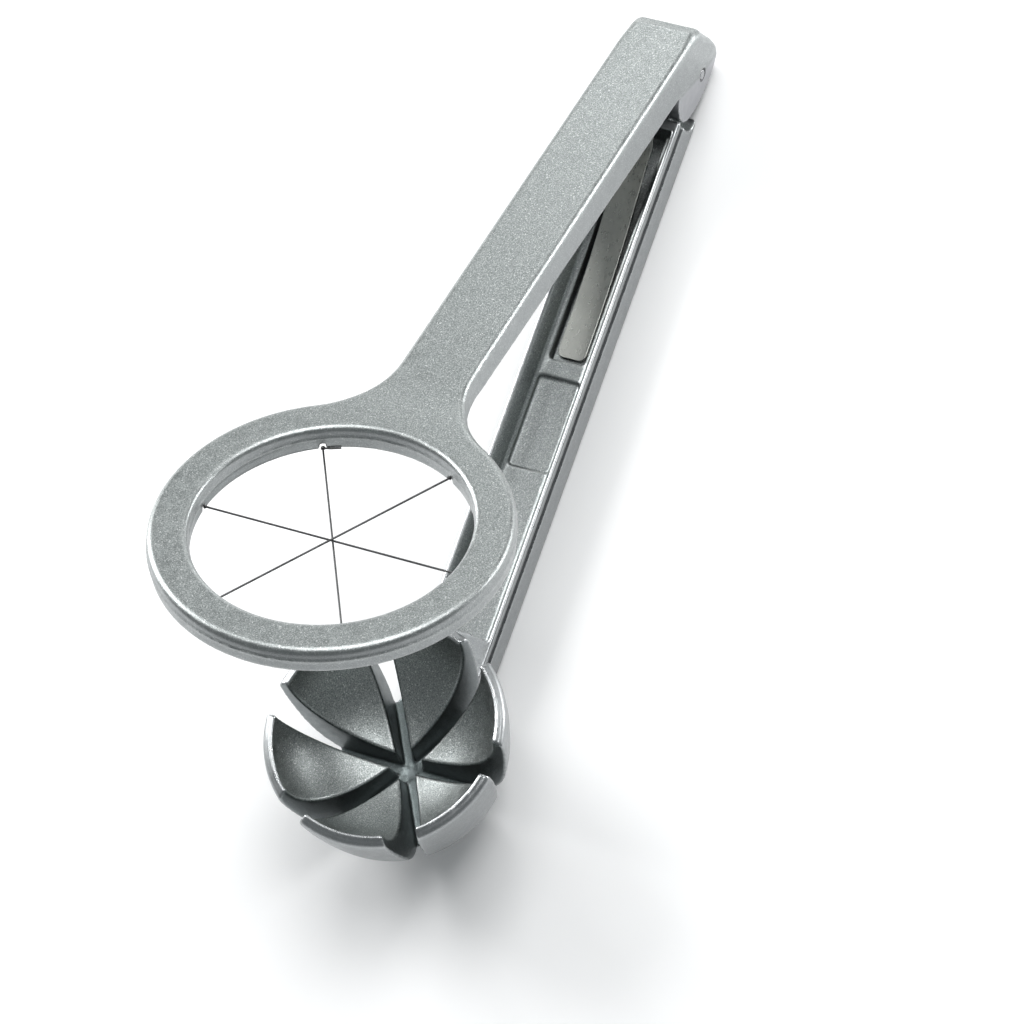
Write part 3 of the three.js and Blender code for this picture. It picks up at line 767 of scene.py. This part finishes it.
HEAD_RADIUS, HEAD_MIDDLE, HEAD_HALF = 1.0, 0.575, 0.375
SHANK_RADIUS, THREAD_DEPTH, THREAD_PITCH = 0.52, 0.05, 0.5
SHANK_MIDDLE, SHANK_HALF = 2, 1.38
DRIVER_SLOT_HALF, DRIVER_SLOT_TOP = 0.13, 0.48
SCREW_STEP, PIN_STEP = 0.11, 0.14  # grids of these small meshes


def screw_solid(x, y, z):
    """Pan-headed screw, its head down, with a driver slot."""
    rho = np.hypot(x, y)
    head = both(rho - HEAD_RADIUS, np.abs(z - HEAD_MIDDLE) - HEAD_HALF, 0.2)
    thread = THREAD_DEPTH * np.sin(z * 2 * math.pi / THREAD_PITCH)
    shank = both(rho - SHANK_RADIUS - thread, np.abs(z - SHANK_MIDDLE) - SHANK_HALF, 0.05)
    body = np.minimum(head, shank)
    slot = np.maximum(np.abs(y) - DRIVER_SLOT_HALF, z - DRIVER_SLOT_TOP)
    return without(body, slot, 0.03)


screw_points, screw_faces = surface(screw_solid, (-1.2, -1.2, 0), (1.2, 1.2, 3.6), SCREW_STEP)
screw_points = settle(screw_solid, screw_points, screw_faces, SCREW_STEP, 3)
SCREW_TURN = 37  # degrees that each slot is turned on from the last one's
for i, angle in enumerate([a + flip for a in WIRE_ANGLES for flip in (0, 180)], 1):
    at_x, at_y, _ = on_ring(ANCHOR_AT, angle, 0)
    turned = math.radians(SCREW_TURN * i)
    c, s = math.cos(turned), math.sin(turned)
    points = np.stack([screw_points[:, 0] * c - screw_points[:, 1] * s + at_x,
                       screw_points[:, 0] * s + screw_points[:, 1] * c + at_y,
                       screw_points[:, 2]], 1)
    screw = dress(mesh_object(f"anchor_screw_{i}", points, screw_faces, True), PIN)
    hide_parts(f"wire_anchor_{i}")
    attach(screw, "upper")


def pin_solid(x, y, z):
    return both(np.hypot(x, z) - PIN_RADIUS, np.abs(y) - PIN_HALF_LENGTH, 0.25)


points, faces = surface(pin_solid, (-1.3, -7.5, -1.3), (1.3, 7.5, 1.3), PIN_STEP)
points = settle(pin_solid, points, faces, PIN_STEP, 3) + np.array([PIN_X, 0, PIN_Z])
pin = dress(mesh_object("pin", points, faces, False), PIN)
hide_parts("hinge_pin")
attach(pin, "lower")


# Flat spring: its lower leg lies in the channel, its upper leg presses on the handle.
SPRING_BEND, SPRING_HALF_WIDTH, SPRING_HALF_THICKNESS = 7.2, 2.9, 0.3
STRIP_EDGE = 0.12  # rounding of the strip's long edges
TIP_ROUND = 1.3
leg_end_u, leg_end_v = -127.6, -1.75
# close points at the tip, where the strip narrows
leg = [(-86.4, -6.25), (-86.5, -6.249), (-86.75, -6.245), (-87.2, -6.24), (-87.8, -6.23),
       (-92, -6.15), (-98, -5.95), (-109, -5.0), (-119, -3.3)]
bend = arc(leg_end_u + SPRING_BEND * 0.17, leg_end_v + SPRING_BEND * 0.985, SPRING_BEND,
           -106, -236, 14)
upper_leg = swung(np.array([(-116, 0, 3.5), (-100, 0, 3.7), (-88, 0, top_at(-88) - 2.75)]))
line = rounded_path([(u, 0, v) for u, v in leg] + [(u, 0, v) for u, v in bend[::2]]
                    + [tuple(p) for p in upper_leg], 6)
strip = [(sign_u * (SPRING_HALF_WIDTH - STRIP_EDGE * (1 - math.sin(a))),
          sign_v * (SPRING_HALF_THICKNESS - STRIP_EDGE * (1 - math.cos(a))))
         for sign_u, sign_v, angles in ((1, 1, (1.57, 0.8, 0)), (-1, 1, (0, 0.8, 1.57)),
                                        (-1, -1, (1.57, 0.8, 0)), (1, -1, (0, 0.8, 1.57)))
         for a in angles]
points, faces = swept(line, strip, np.array([0, 1.0, 0]))
from_tip = np.minimum(np.abs(points[:, 0] - line[0][0]),
                      np.linalg.norm(points[:, [0, 2]] - line[-1][[0, 2]], axis=1))
inward = 1 - np.sqrt(1 - np.clip(1 - from_tip / TIP_ROUND, 0, 1) ** 2)
points[:, 1] *= 1 - TIP_ROUND / SPRING_HALF_WIDTH * inward
spring = dress(plain_mesh("flat_spring", points, faces, False, 15), SPRING)
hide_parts("leaf_spring")


def in_frame(x, y, z):
    return tuple((np.array([x, y, z]) + OFFSET) * MM)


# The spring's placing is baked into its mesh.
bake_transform(spring)


# ---- Studio ----

def floor_material():
    material, tree, shader = nodes_of("pale_floor")
    place = add(tree, "ShaderNodeTexCoord").outputs["Object"]
    shade = noise(tree, place, 40, 2.0, 0.5)
    colour = blend_colours(tree, shade, (0.93, 0.93, 0.93), (0.95, 0.95, 0.95))
    tree.links.new(colour, shader.inputs["Base Color"])
    shader.inputs["Roughness"].default_value = 0.9
    shader.inputs["Specular IOR Level"].default_value = 0.1
    return material


FLOOR_SIZE, FLOOR_Z = 30, -0.0002  # metres; just under the object
bpy.ops.mesh.primitive_plane_add(size=FLOOR_SIZE, location=(0, 0, FLOOR_Z))
floor = dress(bpy.context.object, floor_material())
floor.name = "floor"

world = bpy.data.worlds.new("studio")
bpy.context.scene.world = world
world.use_nodes = True
background = world.node_tree.nodes["Background"]
background.inputs["Color"].default_value = (0.92, 0.975, 1.0, 1)
background.inputs["Strength"].default_value = 0.27


def softbox(name, direction, distance, width, height, watts):
    """An area light that faces the object's middle from that direction."""
    data = bpy.data.lights.new(name, "AREA")
    data.shape = "RECTANGLE"
    data.size, data.size_y = width, height
    data.energy = watts
    lamp = bpy.data.objects.new(name, data)
    aim = Vector(direction).normalized()
    lamp.location = aim * distance
    lamp.rotation_mode = "QUATERNION"
    lamp.rotation_quaternion = aim.to_track_quat("Z", "Y")
    bpy.context.scene.collection.objects.link(lamp)
    return lamp


softbox("side_box", (-0.75, 0.66, 0.05), 1.1, 0.36, 0.12, 4.5)
softbox("key_box", (-0.50, 0.12, 1.0), 1.3, 1.0, 1.0, 16)
softbox("left_box", (-0.20, -0.96, 0.10), 1.0, 0.3, 0.10, 2.0)
softbox("cup_box", (-0.30, -0.80, 0.50), 1.0, 0.5, 0.46, 7.5)
softbox("rear_box", (-0.53, -0.175, 0.165), 0.57, 0.20, 0.12, 0.12)
softbox("near_box", (-0.365, -0.087, 0.081), 0.38, 0.10, 0.06, 0.085)

camera_data = bpy.data.cameras.new("camera")
camera_data.sensor_width = 36
camera_data.lens = 197.6
camera_data.clip_start, camera_data.clip_end = 0.1, 50
camera = bpy.data.objects.new("camera", camera_data)
right = Vector((-0.33096, 0.90738, -0.25907))
up = Vector((-0.91328, -0.23892, 0.32990))
back = Vector((0.23745, 0.34579, 0.90777))
turn = Matrix((right, up, back)).transposed().to_4x4()
camera.matrix_world = Matrix.Translation(in_frame(197.64, 366.48, 957.32)) @ turn
bpy.context.scene.collection.objects.link(camera)
bpy.context.scene.camera = camera
bpy.context.scene.view_settings.view_transform = "Standard"
